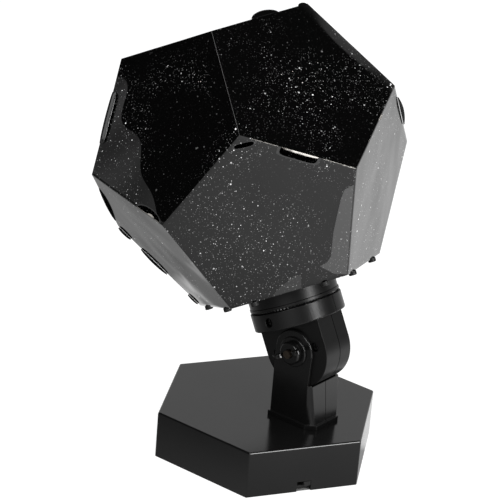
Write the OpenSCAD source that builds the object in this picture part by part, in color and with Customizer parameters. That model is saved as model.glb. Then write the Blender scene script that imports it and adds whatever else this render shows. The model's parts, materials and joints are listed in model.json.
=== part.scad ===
// Desk planetarium: a film dodecahedron on a turntable, a tilting neck, a post and a hexagonal base.
// Millimetres. +Z is up, the origin is the centre of the hexagon on the table, the plane x = 0 is the
// base's middle plane, and the head leans towards +Y.

/* [Base] */
// Side of the hexagonal base
base_edge = 71; // [66:0.5:90]
// Height of the base's top above the table
base_h = 29.5; // [27:0.5:45]
// Wall of the base shell
base_wall = 2.2; // [1.6:0.1:2.8]
// Rounding of the base's upper and upright edges
base_round = 1.2; // [0.6:0.1:2]
// Thickness of the bottom plate
plate_t = 2; // [1.8:0.1:2.6]
// How far the shell's rim reaches below the bottom plate
rim_drop = 1; // [0.8:0.1:2]
// Distance of the base screws from the base's corners
corner_inset = 9; // [8:0.5:11]

/* [Post] */
// Height of the tilt axis above the table
pivot_h = 76.1; // [72:0.5:90]
// Distance of the tilt axis behind the middle of the base
pivot_back = 25.2; // [22:0.2:28]
// Offset of the post and the head to the right of the base's middle
post_off = 1; // [0:0.1:1.5]
// Width of the post over its two cheeks
post_w = 27.8; // [26:0.2:31]
// Wall of the post
post_wall = 2; // [1.6:0.1:2.4]
// Distance from the tilt axis to the post's rear face
post_rear = 13.5; // [12.5:0.1:15]
// Distance from the tilt axis to the end of the side face, at the foot
side_front_foot = 13.4; // [13:0.1:15]
// Distance from the tilt axis to the end of the side face, at the shoulder
side_front_top = 12.4; // [11:0.1:13]
// Distance from the tilt axis to the front face, at the foot
front_foot = 18.6; // [17:0.1:20]
// Distance from the tilt axis to the front face, at the shoulder
front_top = 15.3; // [14:0.1:16.5]
// Width of the front face at the foot
front_w_foot = 20.6; // [16:0.2:22]
// Width of the front face at the shoulder
front_w_top = 25.6; // [24:0.1:26]
// Drop from the tilt axis to the post's shoulder
shoulder_drop = 18.4; // [17.5:0.1:20]
// Radius of the cheeks
cheek_r = 13.4; // [12:0.1:14.5]
// Rounding of the cheeks' rims
cheek_round = 0.8; // [0.4:0.1:1.2]
// Height of the flange at the post's foot
post_flange_h = 3; // [2:0.5:4]
// How far the flange stands proud of the post
post_flange = 1; // [0.6:0.1:1.6]
// How far the lip under the base's top reaches out
post_lip = 2; // [1.5:0.1:3]

/* [Neck] */
// Lean of the head from upright, towards +Y, in degrees
lean = 27; // [0:0.1:60]
// Radius of the knuckle's round end
knuckle_r = 22.9; // [22:0.1:24]
// Distance from the tilt axis to the collar's underside
collar_low = 16.2; // [16:0.1:18]
// Radius of the collar
collar_r = 27.9; // [27:0.1:30]
// Height of the collar
collar_h = 10.9; // [10.8:0.1:13]
// Rounding of the collar's rims
collar_round = 0.7; // [0.3:0.1:1]
// Wall of the neck halves
neck_wall = 2; // [1.6:0.1:2.2]
// Offset of the neck's parting plane to the right of the head's middle
neck_seam = 1.4; // [0.5:0.1:2.4]
// Distance of the two knuckle screws from the tilt axis
knuckle_screw_v = 14.8; // [14.4:0.1:15.5]
// Height of the collar screw above the collar's underside
collar_screw_h = 5.5; // [5.3:0.1:6]

/* [Turntable] */
// Radius of the drum
drum_r = 27.1; // [26:0.1:27.4]
// Height of the drum above its flange
drum_h = 9.1; // [8:0.1:12]
// Wall of the drum
drum_wall = 2; // [1.6:0.1:2.4]
// Radius of the drum's thin flange
drum_flange_r = 27.5; // [27.4:0.1:29]
// Thickness of the drum's flange
drum_flange_t = 1.5; // [1.2:0.1:2]
// Height of the groove between collar and flange
groove_h = 1.1; // [0.9:0.1:1.6]
// Number of teeth on the ring in the groove
ring_teeth = 80; // [60:4:100]
// Depth of those teeth
tooth_h = 0.7; // [0.4:0.1:0.9]
// Radius of the hub that turns in the collar
hub_r = 20; // [19.5:0.1:20.4]
// Radius of the hub's retaining flange
hub_flange_r = 22.3; // [22:0.1:22.6]
// Thickness of the hub's retaining flange
hub_flange_t = 1; // [0.8:0.1:1.1]
// Radius of the bore for the lamp stem
hub_bore_r = 12; // [11.5:0.1:13]

/* [Dome] */
// Edge of the dodecahedron
face_edge = 69.8; // [66:0.2:75]
// Thickness of the film
film_t = 0.3; // [0.2:0.05:0.5]
// Turn of the dome on its turntable, in degrees
dome_turn = 39.5; // [0:0.1:72]
// Depth of the flaps folded under the tray
flap_d = 7; // [6:0.5:9]
// Depth of the glue flap that closes each half of the film
glue_d = 10; // [6:0.5:12]
// Length of the lock tabs
tab_l = 15; // [10:0.5:20]
// Depth of the lock tabs
tab_d = 6; // [4:0.5:8]
// Height of the tray that carries the film
tray_h = 5; // [4.5:0.1:7]
// Thickness of the tray's floor
tray_floor = 2; // [1.6:0.1:2.5]
// Width of the tray's rim
tray_rim = 4.6; // [4.2:0.1:6]
// Radius of the pegs' heads
peg_head_r = 2.4; // [2:0.1:2.8]
// Height of the pegs' heads
peg_head_h = 2.4; // [1.6:0.1:3]
// Radius of the pegs' shanks
peg_r = 1; // [0.8:0.05:1]
// Distance of the pegs from the film's lower fold
peg_inset = 1.5; // [1.5:0.1:2]
// Distance of the pegs from the middle of a lower edge
peg_out = 21; // [15:0.5:24]

/* [Lamp] */
// Radius of the lamp stem
stem_r = 6; // [5.5:0.1:6.5]
// Bore radius of the lamp stem
stem_bore_r = 4.4; // [4:0.1:4.6]
// Radius of the lamp socket
socket_r = 8; // [7.5:0.1:9]
// Height of the lamp socket
socket_h = 14; // [12:0.5:16]
// Radius of the bulb's glass
bulb_r = 5.6; // [5:0.1:6.5]
// Radius of the bulb's brass base
cap_r = 4.7; // [4.5:0.05:4.9]
// Height from the bulb's base to its filament
filament_h = 7; // [6:0.5:9]

/* [Pivot and wing nut] */
// Radius of the pivot bolt
bolt_r = 2.5; // [2:0.1:3]
// Radius of the clamp washers
washer_r = 9.3; // [8.5:0.1:10.5]
// Thickness of the clamp washers
washer_t = 1.3; // [1:0.1:2]
// Radius of the wing nut's barrel
nut_r = 7; // [6:0.1:7.5]
// Height of the wing nut's barrel
nut_h = 3.6; // [3:0.1:5]
// Radius reached by the wings
wing_r = 10.4; // [9.5:0.1:12]
// How far the wings stand out beyond the barrel
wing_out = 4.4; // [3:0.1:6]
// Thickness of the wings
wing_t = 2.6; // [2:0.1:3.2]
// Turn of the wings from level, in degrees
wing_turn = 28; // [0:1:90]
// Free end of the bolt beyond the barrel
bolt_end = 2.1; // [1:0.1:4]

/* [Power] */
// Radius of a battery cell
cell_r = 7.1; // [7:0.05:7.3]
// Length of a battery cell without its cap
cell_l = 49.2; // [49:0.1:50]
// Distance between neighbouring cells
cell_pitch = 15; // [14.9:0.1:16]
// Room for a spring or a contact at each end of a cell
contact_room = 4; // [3.6:0.1:5]
// Wall of the battery box
box_wall = 1.6; // [1.4:0.1:2]
// Offset of the battery box towards +Y
box_y = 5; // [3:0.5:8]
// Width of the switch notch in the base's rim
notch_w = 8.9; // [8.5:0.1:11]
// Height of the switch notch above the table
notch_h = 6.5; // [6.3:0.1:8]
// Distance of the notch's middle from the middle of its side
notch_off = 1.15; // [0:0.05:4]
// Width of the switch knob
knob_w = 4.2; // [3.6:0.1:4.6]
// Travel of the switch knob
knob_travel = 3.6; // [2:0.1:3.8]

/* [Clearances] */
// Gap between parts that move past each other
run_gap = 0.3; // [0.2:0.05:0.4]
// Radial clearance of a pin in its bore
pin_gap = 0.06; // [0.03:0.01:0.09]
// Gap round a part set into another
set_gap = 0.15; // [0.1:0.05:0.25]

/* [Hidden] */
$fn = 64;

black = [0.07, 0.07, 0.075];
soft_black = [0.12, 0.12, 0.125];
steel = [0.72, 0.72, 0.74];
brass = [0.78, 0.62, 0.32];
film_black = [0.16, 0.16, 0.17];

// Distances from a hexagon's middle to its sides
base_apothem = base_edge * cos(30);
inner_edge = base_edge - base_wall / cos(30);
plate_edge = inner_edge - set_gap / cos(30);
plate_top = rim_drop + plate_t;
top_under = base_h - base_wall;
corner_ring = base_edge - corner_inset;

// Edge of the blocks that cut a body into its two halves
half_block = 4 * knuckle_r;

// Small screws: shank, head and the tube they run in
screw_r = 1.4;
screw_head_r = 2.6;
screw_head_h = 1.8;
screw_tube_r = 3.4;
screw_hole_r = screw_r + set_gap;
base_screw_l = 9;

// Post
pivot_y = -pivot_back;
shoulder_z = pivot_h - shoulder_drop;
post_in = post_w / 2 - post_wall;
post_screw_z = [base_h + 7, base_h + 16];
post_sink = 2.6;
lip_t = 2;

// Neck
knuckle_w = 2 * (post_in - set_gap);
collar_top = collar_low + collar_h;
lip_h = 1.3;
flange_low = collar_top - lip_h - 0.2 - hub_flange_t;
recess_low = flange_low - 0.2;
ledge_h = 1.2;
lead_way = 250;
seat_r = 11;
seat_low = recess_low - 2;
neck_tube_r = 2.4;
screw_sink_r = screw_head_r + set_gap;
collar_screw_w = collar_low + collar_screw_h;
collar_screw_in = 3.9;
knuckle_screw_in = 3;

// Turntable
drum_bottom = collar_top + groove_h;
ring_low = collar_top + run_gap;
drum_top = drum_bottom + drum_flange_t + drum_h + run_gap;
tray_screw_ring = drum_r - drum_wall - 3.4;
tray_screws_n = 5;

// Dodecahedron: radii of a face, of the solid and of its rings of corners
dome_low = drum_top - film_t;
face_r = face_edge / (2 * sin(36));
face_apothem = face_edge / (2 * tan(36));
in_r = face_edge / 2 * sqrt((25 + 11 * sqrt(5)) / 10);
belt_r = face_edge * 1.376382;
belt_z = face_edge * 0.262866;
centre_w = dome_low + in_r;
face_tilt = 63.4349;
side_slope = 1 / tan(face_tilt);
film_in = film_t / sin(face_tilt);
film_merge = 0.02;
glue_slant = glue_d * 0.7;
tray_apothem = face_apothem - film_in + film_t * side_slope - set_gap;
tray_top_scale = (tray_apothem + tray_h * side_slope) / tray_apothem;

// Lamp
stem_low = recess_low;
stem_flange_r = 9.6;
stem_flange_t = 1.6;
cap_h = 9;
cap_low = centre_w - filament_h - cap_h;
socket_low = cap_low - 6;
stem_top = socket_low + 4;
lead_r = 0.7;
lead_off = 2.9;
wire_off = 1.6;
support_r = 0.25;
stem_screw_off = 7.7;
small_screw_r = 0.8;
small_head_r = 1.6;

// Pivot and wing nut
washer_out = post_w / 2 + washer_t;
nut_out = washer_out + nut_h;
bolt_tip = nut_out + bolt_end;
hex_head_r = 4.4;
hex_head_h = 3.2;

// Power
cells = 3;
cell_z = plate_top + run_gap + cell_r;
box_x = cell_l / 2 + contact_room;
box_half_y = cell_pitch * cells / 2 + 0.2;
box_top = cell_z + cell_r + run_gap;
door_t = plate_t - 0.3;
hinge_r = 0.7;
hinge_z = rim_drop + plate_t / 2;
hinge_x = -(box_x - 1.2);
hinge_l = 1.1;
latch_w = 12;
contact_w = 10;
contact_h = 9;
contact_t = 0.5;
spring_low_r = 4.2;
spring_high_r = 2.6;
switch_depth = 5.6;
can_w = 13;
can_h = 5;
pin_pitch = 3.2;
can_out = base_apothem - base_wall - 1.4;
slot_w = knob_w + knob_travel + 2 * set_gap;
slot_y = notch_off + notch_w / 2 - slot_w;
knob_low = plate_top + 0.35;
knob_h = notch_h - knob_low - 0.35;

module hexagon(edge) {
    polygon([for (i = [0:5]) edge * [cos(60 * i + 30), sin(60 * i + 30)]]);
}

module at_corners(ring) {
    for (i = [0:5])
        rotate(60 * i + 30) translate([ring, 0, 0]) children();
}

module rounded_hex(edge, h, r) {
    hull() {
        for (i = [0:5])
            rotate(60 * i + 30) translate([edge - r / cos(30), 0, 0]) {
                cylinder(h = h - r, r = r, $fn = 24);
                translate([0, 0, h - r]) sphere(r = r, $fn = 24);
            }
    }
}

// A rod along X, from x0 to x1
module rod_x(x0, x1, r) {
    translate([x0, 0, 0]) rotate([0, 90, 0]) cylinder(h = x1 - x0, r = r);
}

// A wire through the given points: an eight-sided tube, mitred at each bend
wire_sides = 8;
function unit(v) = v / norm(v);
function wire_dir(p, i) = unit((i > 0 ? unit(p[i] - p[i - 1]) : [0, 0, 0])
    + (i < len(p) - 1 ? unit(p[i + 1] - p[i]) : [0, 0, 0]));
function wire_ring(p, i, r, side) = let (d = wire_dir(p, i),
    in_dir = i > 0 ? unit(p[i] - p[i - 1]) : d,
    u = unit(cross(d, side)), v = cross(d, u), stretch = 1 / max(0.5, in_dir * d))
    [for (k = [0:wire_sides - 1]) let (a = 360 * k / wire_sides)
        p[i] + r * (cos(a) * u * stretch + sin(a) * v * stretch)];

module wire(points, r, side = [0.3, 1, 0.2]) {
    n = len(points) - 1;
    m = wire_sides;
    rings = [for (i = [0:n]) each wire_ring(points, i, r, side)];
    faces = [for (i = [0:n - 1], k = [0:m - 1]) let (j = (k + 1) % m)
        [i * m + k, i * m + j, (i + 1) * m + j, (i + 1) * m + k]];
    polyhedron(rings, concat(faces, [[for (k = [m - 1:-1:0]) k], [for (k = [0:m - 1]) n * m + k]]));
}

// A pan-head screw along -Z with the underside of its head at z = 0 and a cross in its head
module screw(r, l, head_r, head_h) {
    translate([0, 0, -l]) cylinder(h = l, r = r);
    difference() {
        union() {
            cylinder(h = head_h * 0.55, r = head_r);
            translate([0, 0, head_h * 0.55]) cylinder(h = head_h * 0.45, r1 = head_r, r2 = head_r * 0.7);
        }
        for (a = [0, 90])
            rotate(a) translate([-head_r * 0.62, -head_r * 0.13, head_h * 0.45])
                cube([head_r * 1.24, head_r * 0.26, head_h]);
    }
}

module at_pivot() {
    translate([post_off, pivot_y, pivot_h]) children();
}

// The head's own frame: z along the turning axis, x along the tilt axis
module in_head() {
    at_pivot() rotate([-lean, 0, 0]) children();
}

// The frame of the base side with the switch: x points outwards, y along the side
module at_switch() {
    rotate(240) children();
}

// ---------------------------------------------------------------- base

module base_shell() {
    boss_r = screw_tube_r;
    color(black) difference() {
        union() {
            difference() {
                rounded_hex(base_edge, base_h, base_round);
                translate([0, 0, -1]) linear_extrude(top_under + 1) hexagon(inner_edge);
            }
            at_corners(corner_ring)
                translate([0, 0, plate_top]) cylinder(h = top_under - plate_top + 0.5, r = boss_r);
            at_corners(corner_ring)
                translate([0, -0.7, plate_top + 4]) cube([corner_inset - base_wall - 0.4, 1.4, top_under - plate_top - 3.5]);
        }
        at_corners(corner_ring)
            translate([0, 0, plate_top - 1]) cylinder(h = base_screw_l + 5, r = screw_r);
        translate([0, 0, base_h - base_wall - 1]) linear_extrude(base_wall + 2)
            translate([post_off, pivot_y]) polygon(post_outline(0, set_gap));
        at_switch() translate([can_out, notch_off - notch_w / 2, -1])
            cube([base_apothem - can_out + 1, notch_w, notch_h + 1]);
    }
}

module base_plate() {
    outer_x = box_x + box_wall;
    outer_y = box_half_y + box_wall;
    color(soft_black) difference() {
        union() {
            translate([0, 0, rim_drop]) linear_extrude(plate_t) hexagon(plate_edge);
            translate([-outer_x, box_y - outer_y, rim_drop]) cube([2 * outer_x, 2 * outer_y, box_top + box_wall - rim_drop]);
            at_switch() translate([can_out - switch_depth - set_gap - 1.4, notch_off - can_w / 2 + 1.5, plate_top])
                cube([1.4, can_w - 3, can_h - 1]);
        }
        // room for the cells, with ribs between them
        difference() {
            translate([-box_x, box_y - box_half_y, rim_drop - 1]) cube([2 * box_x, 2 * box_half_y, box_top - rim_drop + 1]);
            for (s = [-1, 1])
                translate([-cell_l / 2 + 6, box_y + s * cell_pitch / 2 - 0.3, cell_z + cell_r / 2])
                    cube([cell_l - 12, 0.6, box_top - cell_z]);
        }
        // bores of the door's hinge pins
        translate([hinge_x, box_y - box_half_y - hinge_l - 0.1, hinge_z]) rotate([-90, 0, 0])
            cylinder(h = 2 * (box_half_y + hinge_l + 0.1), r = hinge_r + pin_gap);
        at_corners(corner_ring)
            translate([0, 0, rim_drop - 1]) cylinder(h = plate_t + 2, r = screw_hole_r);
        // openings for the two leads to the cells and for the finger at the latch
        for (s = [-1, 1])
            translate([s * (box_x + box_wall / 2), lead_y, lead_z]) rotate([0, 90, 0])
                cylinder(h = box_wall + 1, r = lead_r + set_gap, center = true, $fn = 24);
        translate([box_x - 1, box_y - latch_w / 2 + 2, rim_drop - 1]) cube([5, latch_w - 4, 1 + door_t / 2]);
    }
}

module base_screws() {
    color(steel) at_corners(corner_ring)
        translate([0, 0, rim_drop]) mirror([0, 0, 1]) screw(screw_r, base_screw_l, screw_head_r, rim_drop * 0.8);
}

module battery_door() {
    half_x = box_x - set_gap;
    half_y = box_half_y - set_gap - 0.1;
    color(soft_black) difference() {
        union() {
            translate([hinge_x, box_y - half_y, rim_drop]) cube([half_x - hinge_x, 2 * half_y, door_t]);
            translate([hinge_x, box_y - half_y, hinge_z]) rotate([-90, 0, 0])
                cylinder(h = 2 * half_y, r = door_t / 2 + 0.05);
            translate([hinge_x, box_y - half_y - hinge_l, hinge_z]) rotate([-90, 0, 0])
                cylinder(h = 2 * (half_y + hinge_l), r = hinge_r);
        }
        // springy latch tongue between two slots, and grip grooves beside it
        for (s = [-1, 1])
            translate([half_x - 14, box_y + s * latch_w / 2 - 0.5, rim_drop - 1]) cube([20, 1, door_t + 2]);
        for (i = [0:3])
            translate([half_x - 5 - 2 * i, box_y - latch_w / 2 + 2, rim_drop - 0.1]) cube([0.8, latch_w - 4, 0.5]);
    }
}

module battery_cells() {
    for (i = [0:cells - 1]) {
        s = i % 2 == 0 ? 1 : -1;
        translate([0, box_y + (i - (cells - 1) / 2) * cell_pitch, cell_z]) {
            color([0.5, 0.52, 0.55]) rod_x(-cell_l / 2, cell_l / 2, cell_r);
            color(steel) mirror([s > 0 ? 0 : 1, 0, 0]) rod_x(cell_l / 2, cell_l / 2 + 1, 2.7);
        }
    }
}

// One plate at each end of each cell; the plate at a cell's flat end carries its spring
module contact_plates() {
    color(steel) for (i = [0:cells - 1])
        for (s = [-1, 1])
            translate([s * (box_x - contact_t / 2) - contact_t / 2, box_y + (i - (cells - 1) / 2) * cell_pitch - contact_w / 2,
                cell_z - contact_h / 2]) cube([contact_t, contact_w, contact_h]);
}

// Rings of a cone-shaped coil
spring_turns = 3;
spring_steps = 10;
spring_wire = 0.35;
function spring_point(t, l) = let (r = spring_low_r + (spring_high_r - spring_low_r) * t)
    [0.4 + (l - 0.8) * t, r * cos(360 * spring_turns * t), r * sin(360 * spring_turns * t)];

module coil_spring(l) {
    n = spring_turns * spring_steps;
    sides = 6;
    points = [for (i = [0:n]) let (t = i / n, c = spring_point(t, l), a = 360 * spring_turns * t)
        for (k = [0:sides - 1]) let (b = 360 * k / sides)
            c + spring_wire * (cos(b) * [1, 0, 0] + sin(b) * [0, cos(a), sin(a)])];
    sides_faces = [for (i = [0:n - 1], k = [0:sides - 1]) let (m = (k + 1) % sides)
        [i * sides + k, (i + 1) * sides + k, (i + 1) * sides + m, i * sides + m]];
    ends = [[for (k = [0:sides - 1]) k], [for (k = [0:sides - 1]) n * sides + sides - 1 - k]];
    polyhedron(points, concat(sides_faces, ends));
}

module contact_springs() {
    color(steel) for (i = [0:cells - 1]) {
        s = i % 2 == 0 ? 1 : -1;
        translate([0, box_y + (i - (cells - 1) / 2) * cell_pitch, cell_z]) mirror([s > 0 ? 0 : 1, 0, 0])
            translate([-box_x + contact_t, 0, 0]) coil_spring(contact_room - contact_t);
    }
}

module switch_can() {
    at_switch() {
        color(steel) difference() {
            translate([can_out - switch_depth, notch_off - can_w / 2, plate_top]) cube([switch_depth, can_w, can_h]);
            translate([can_out - 1.2, slot_y, knob_low - 0.3]) cube([2, slot_w, knob_h + 0.6]);
        }
        color(brass) for (i = [-1:1])
            translate([can_out - switch_depth / 2 - 0.3, notch_off + pin_pitch * i - 0.6, plate_top + can_h])
                cube([0.6, 1.2, 3]);
    }
}

module switch_knob() {
    y0 = slot_y + slot_w - set_gap - knob_w;
    color([0.32, 0.32, 0.33]) at_switch() {
        translate([can_out - 1, y0, knob_low]) cube([base_apothem - can_out + 0.6, knob_w, knob_h]);
        for (i = [0:2])
            translate([base_apothem - 0.6, y0 + knob_w * (0.2 + 0.3 * i) - 0.25, knob_low]) cube([0.4, 0.5, knob_h]);
    }
}

// Leads from the battery box to the switch and up the post
lead_x = 4.5;
lead_top = pivot_h - knuckle_r - 1.6;
post_low = top_under - 5.3;
lead_front = pivot_y - 8;
lead_z = plate_top + 5;
lead_y = box_y - box_half_y + 4;
lead_out = box_x + box_wall + 2;
function mirror_x(p) = [-p[0], p[1], p[2]];
// A point beside pin i of the switch
function pin_side(i) = let (x = can_out - switch_depth / 2 - 0.5 - lead_r, y = notch_off + pin_pitch * i)
    [x * cos(240) - y * sin(240), x * sin(240) + y * cos(240), plate_top + can_h + 2];

module base_leads() {
    box_end = [[box_x, lead_y, lead_z], [lead_out, lead_y, lead_z]];
    color([0.7, 0.12, 0.1]) wire(concat(box_end, [[lead_out, pivot_y, base_h / 2], [post_off + lead_x, lead_front, post_low],
        [post_off + lead_x, lead_front, lead_top]]), lead_r);
    color([0.1, 0.1, 0.1]) {
        wire([mirror_x(box_end[0]), mirror_x(box_end[1]), [-lead_out, -30, 14], pin_side(-1)], lead_r);
        wire([pin_side(0), [-12, -38, 18], [post_off - lead_x, lead_front, post_low],
            [post_off - lead_x, lead_front, lead_top]], lead_r);
    }
}

// ---------------------------------------------------------------- post

// Outline of the post about the tilt axis: up = 0 at the foot, 1 at the shoulder; grow moves it outwards
function post_outline(up, grow) = let (
    w = post_w / 2 + grow,
    side = side_front_foot + up * (side_front_top - side_front_foot) + 0.414 * grow,
    front = front_foot + up * (front_top - front_foot) + grow,
    half = (front_w_foot + up * (front_w_top - front_w_foot)) / 2 + 0.414 * grow,
    rear = post_rear + grow)
    [[-w, rear], [-w, -side], [-half, -front], [half, -front], [w, -side], [w, rear]];

// Straight-sided transition between the post's outline at z0 and at z1
module post_loft(z0, z1, up0, up1, grow) {
    low = post_outline(up0, grow);
    high = post_outline(up1, grow);
    points = concat([for (p = low) [p[0], p[1], z0]], [for (p = high) [p[0], p[1], z1]]);
    faces = concat([[5, 4, 3, 2, 1, 0]], [[6, 7, 8, 9, 10, 11]],
        [for (i = [0:5]) let (j = (i + 1) % 6) [i, j, j + 6, i + 6]]);
    polyhedron(points, [for (f = faces) [for (k = [len(f) - 1:-1:0]) f[k]]]);
}

module cheek_plate() {
    // round eye with a rounded outer rim, on a web that widens to the post's side
    rotate([0, 90, 0]) rotate_extrude() {
        square([cheek_r - cheek_round, post_wall]);
        square([cheek_r, post_wall - cheek_round]);
        translate([cheek_r - cheek_round, post_wall - cheek_round]) circle(r = cheek_round, $fn = 32);
    }
    rotate([90, 0, 90]) linear_extrude(post_wall)
        polygon([[-cheek_r, 0], [-side_front_top, -shoulder_drop - 1], [post_rear, -shoulder_drop - 1],
            [post_rear, -6], [cheek_r, 0]]);
}

module post() {
    reach = (pivot_h - shoulder_drop - base_h);
    difference() {
        union() {
            translate([post_off, pivot_y, 0]) {
                difference() {
                    post_loft(base_h, shoulder_z, 0, 1, 0);
                    post_loft(base_h - 1, shoulder_z + 1, -1 / reach, 1 + 1 / reach, -post_wall);
                }
                translate([0, 0, base_h]) linear_extrude(post_flange_h) difference() {
                    polygon(post_outline(0, post_flange));
                    polygon(post_outline(0, -post_wall));
                }
                translate([0, 0, top_under]) linear_extrude(base_wall) difference() {
                    polygon(post_outline(0, 0));
                    polygon(post_outline(0, -post_wall));
                }
                translate([0, 0, top_under - lip_t]) linear_extrude(lip_t) difference() {
                    polygon(post_outline(0, post_lip));
                    polygon(post_outline(0, -post_wall));
                }
            }
            at_pivot() {
                translate([post_in, 0, 0]) cheek_plate();
                mirror([1, 0, 0]) translate([post_in, 0, 0]) cheek_plate();
            }
            for (z = post_screw_z)
                translate([post_off, pivot_y, z]) rod_x(-post_w / 2 + 0.5, post_w / 2, screw_tube_r);
        }
        at_pivot() {
            rod_x(-post_in, post_in, knuckle_r + run_gap);
            rod_x(-post_w, post_w, bolt_r + pin_gap);
        }
        for (z = post_screw_z) translate([post_off, pivot_y, z]) {
            rod_x(-post_in, 0.5, screw_r);
            rod_x(0, post_w, screw_hole_r);
            rod_x(post_w / 2 - post_sink, post_w, screw_sink_r);
        }
    }
}

module post_left() {
    color(black) intersection() {
        post();
        translate([post_off - post_w, pivot_y - half_block / 2, 0]) cube([post_w, half_block, pivot_h + half_block / 2]);
    }
}

module post_right() {
    color(black) intersection() {
        post();
        translate([post_off, pivot_y - half_block / 2, 0]) cube([post_w, half_block, pivot_h + half_block / 2]);
    }
}

module post_screws() {
    color(steel) for (z = post_screw_z)
        translate([post_off + post_w / 2 - post_sink, pivot_y, z]) rotate([0, 90, 0])
            screw(screw_r, post_w - 7, screw_head_r, screw_head_h);
}

// ---------------------------------------------------------------- pivot and wing nut

module pivot_bolt() {
    color(brass) at_pivot() {
        rod_x(-bolt_tip, washer_out, bolt_r);
        translate([washer_out, 0, 0]) rotate([0, 90, 0]) cylinder(h = hex_head_h, r = hex_head_r, $fn = 6);
    }
}

module clamp_washers() {
    color(black) at_pivot() for (s = [0, 1]) mirror([s, 0, 0])
        translate([post_w / 2, 0, 0]) rotate([0, 90, 0]) difference() {
            rotate_extrude() polygon([[0, 0], [washer_r, 0], [washer_r, washer_t - 0.4], [washer_r - 0.4, washer_t],
                [0, washer_t]]);
            translate([0, 0, -1]) cylinder(h = washer_t + 2, r = bolt_r + pin_gap);
        }
}

// Outline of one wing, radius by height above the washer
module wing_outline() {
    hull() {
        translate([nut_r - 3.4, nut_h * 0.35]) circle(r = nut_h * 0.35, $fn = 32);
        translate([wing_r - 3, nut_h + wing_out - 3]) circle(r = 3, $fn = 32);
        translate([nut_r - 1, nut_h * 0.5]) circle(r = 1, $fn = 32);
    }
}

module wing_nut() {
    color(black) at_pivot() translate([-washer_out, 0, 0]) rotate([0, -90, 0]) rotate(90 + wing_turn)
        difference() {
            union() {
                rotate_extrude() polygon([[0, 0], [nut_r, 0], [nut_r, nut_h - 0.8], [nut_r - 0.8, nut_h],
                    [0, nut_h]]);
                for (a = [0, 180])
                    rotate(a) rotate([90, 0, 0]) linear_extrude(wing_t, center = true) wing_outline();
            }
            translate([0, 0, -1]) cylinder(h = nut_h + wing_out + 2, r = bolt_r + pin_gap);
        }
}

// ---------------------------------------------------------------- neck

module neck_screw_tubes() {
    for (s = [-1, 1])
        translate([0, s * knuckle_screw_v, 0]) rod_x(-knuckle_w / 2, knuckle_w / 2, screw_sink_r + 1);
    translate([0, 0, collar_screw_w]) rod_x(-collar_r + 1.2, collar_r - 1.2, neck_tube_r);
    translate([0, 0, collar_screw_w]) rod_x(-collar_r + 1.2, -collar_r + collar_screw_in + 1.6, screw_sink_r);
}

module neck() {
    difference() {
        union() {
            difference() {
                union() {
                    rod_x(-knuckle_w / 2, knuckle_w / 2, knuckle_r);
                    translate([-knuckle_w / 2, -knuckle_r, 0]) cube([knuckle_w, 2 * knuckle_r, collar_low + 1]);
                    rotate_extrude() {
                        translate([0, collar_low]) square([collar_r - collar_round, collar_h]);
                        translate([0, collar_low + collar_round]) square([collar_r, collar_h - 2 * collar_round]);
                        for (z = [collar_low + collar_round, collar_top - collar_round])
                            translate([collar_r - collar_round, z]) circle(r = collar_round, $fn = 32);
                    }
                }
                // hollow knuckle and collar, open to each other
                rod_x(-knuckle_w / 2 + neck_wall, knuckle_w / 2 - neck_wall, knuckle_r - neck_wall);
                translate([-knuckle_w / 2 + neck_wall, -knuckle_r + neck_wall, 0])
                    cube([knuckle_w - 2 * neck_wall, 2 * (knuckle_r - neck_wall), collar_low + neck_wall + 1]);
                translate([0, 0, collar_low + neck_wall])
                    cylinder(h = recess_low - ledge_h - collar_low - neck_wall, r = collar_r - neck_wall);
                translate([0, 0, collar_low + neck_wall]) cylinder(h = collar_h, r = hub_r - 1);
                translate([0, 0, recess_low]) cylinder(h = hub_flange_t + 0.4, r = hub_flange_r + run_gap);
                translate([0, 0, recess_low]) cylinder(h = collar_h, r = hub_r + run_gap);
            }
            // pivot tube, screw tubes and the seat of the lamp stem on its four arms
            rod_x(-knuckle_w / 2, knuckle_w / 2, bolt_r + 2.6);
            neck_screw_tubes();
            translate([0, 0, seat_low]) cylinder(h = 2, r = seat_r);
            for (a = [0:90:270])
                rotate(a) translate([seat_r - 1, -1.5, seat_low]) cube([hub_r - seat_r + 1.5, 3, 2]);
        }
        rod_x(-collar_r, collar_r, bolt_r + pin_gap);
        for (s = [-1, 1]) translate([0, s * knuckle_screw_v, 0]) {
            rod_x(-knuckle_w, neck_seam + 0.5, screw_hole_r);
            rod_x(neck_seam, knuckle_w / 2 - 1, screw_r);
            rod_x(-knuckle_w, -knuckle_w / 2 + knuckle_screw_in, screw_sink_r);
        }
        translate([0, 0, collar_screw_w]) {
            rod_x(-collar_r, neck_seam + 0.5, screw_hole_r);
            rod_x(neck_seam, collar_r - 8, screw_r);
            rod_x(-collar_r - 1, -collar_r + collar_screw_in, screw_sink_r);
        }
        // ways for the leads, and the holes of the stem's screws
        for (s = [-1, 1]) {
            translate([0, s * lead_off, seat_low - 6]) cylinder(h = 12, r = lead_r + set_gap, $fn = 24);
            translate([0, s * stem_screw_off, seat_low - 1]) cylinder(h = 4, r = small_screw_r);
        }
        rotate([lean, 0, 0]) translate([-lead_x - 1.4, 0, 0]) rotate([90, 0, 90]) linear_extrude(2 * lead_x + 2.8)
            polygon([for (p = [[-1, -1], [1, -1], [1, 1], [-1, 1]])
                let (r = knuckle_r + (neck_wall + 0.5) * p[1], a = lead_way + 12 * p[0]) r * [cos(a), sin(a)]]);
    }
}

module neck_left() {
    color(soft_black) in_head() intersection() {
        neck();
        translate([neck_seam - half_block, -half_block / 2, -half_block / 2]) cube(half_block);
    }
}

module neck_right() {
    color(soft_black) in_head() intersection() {
        neck();
        translate([neck_seam, -half_block / 2, -half_block / 2]) cube(half_block);
    }
}

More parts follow.
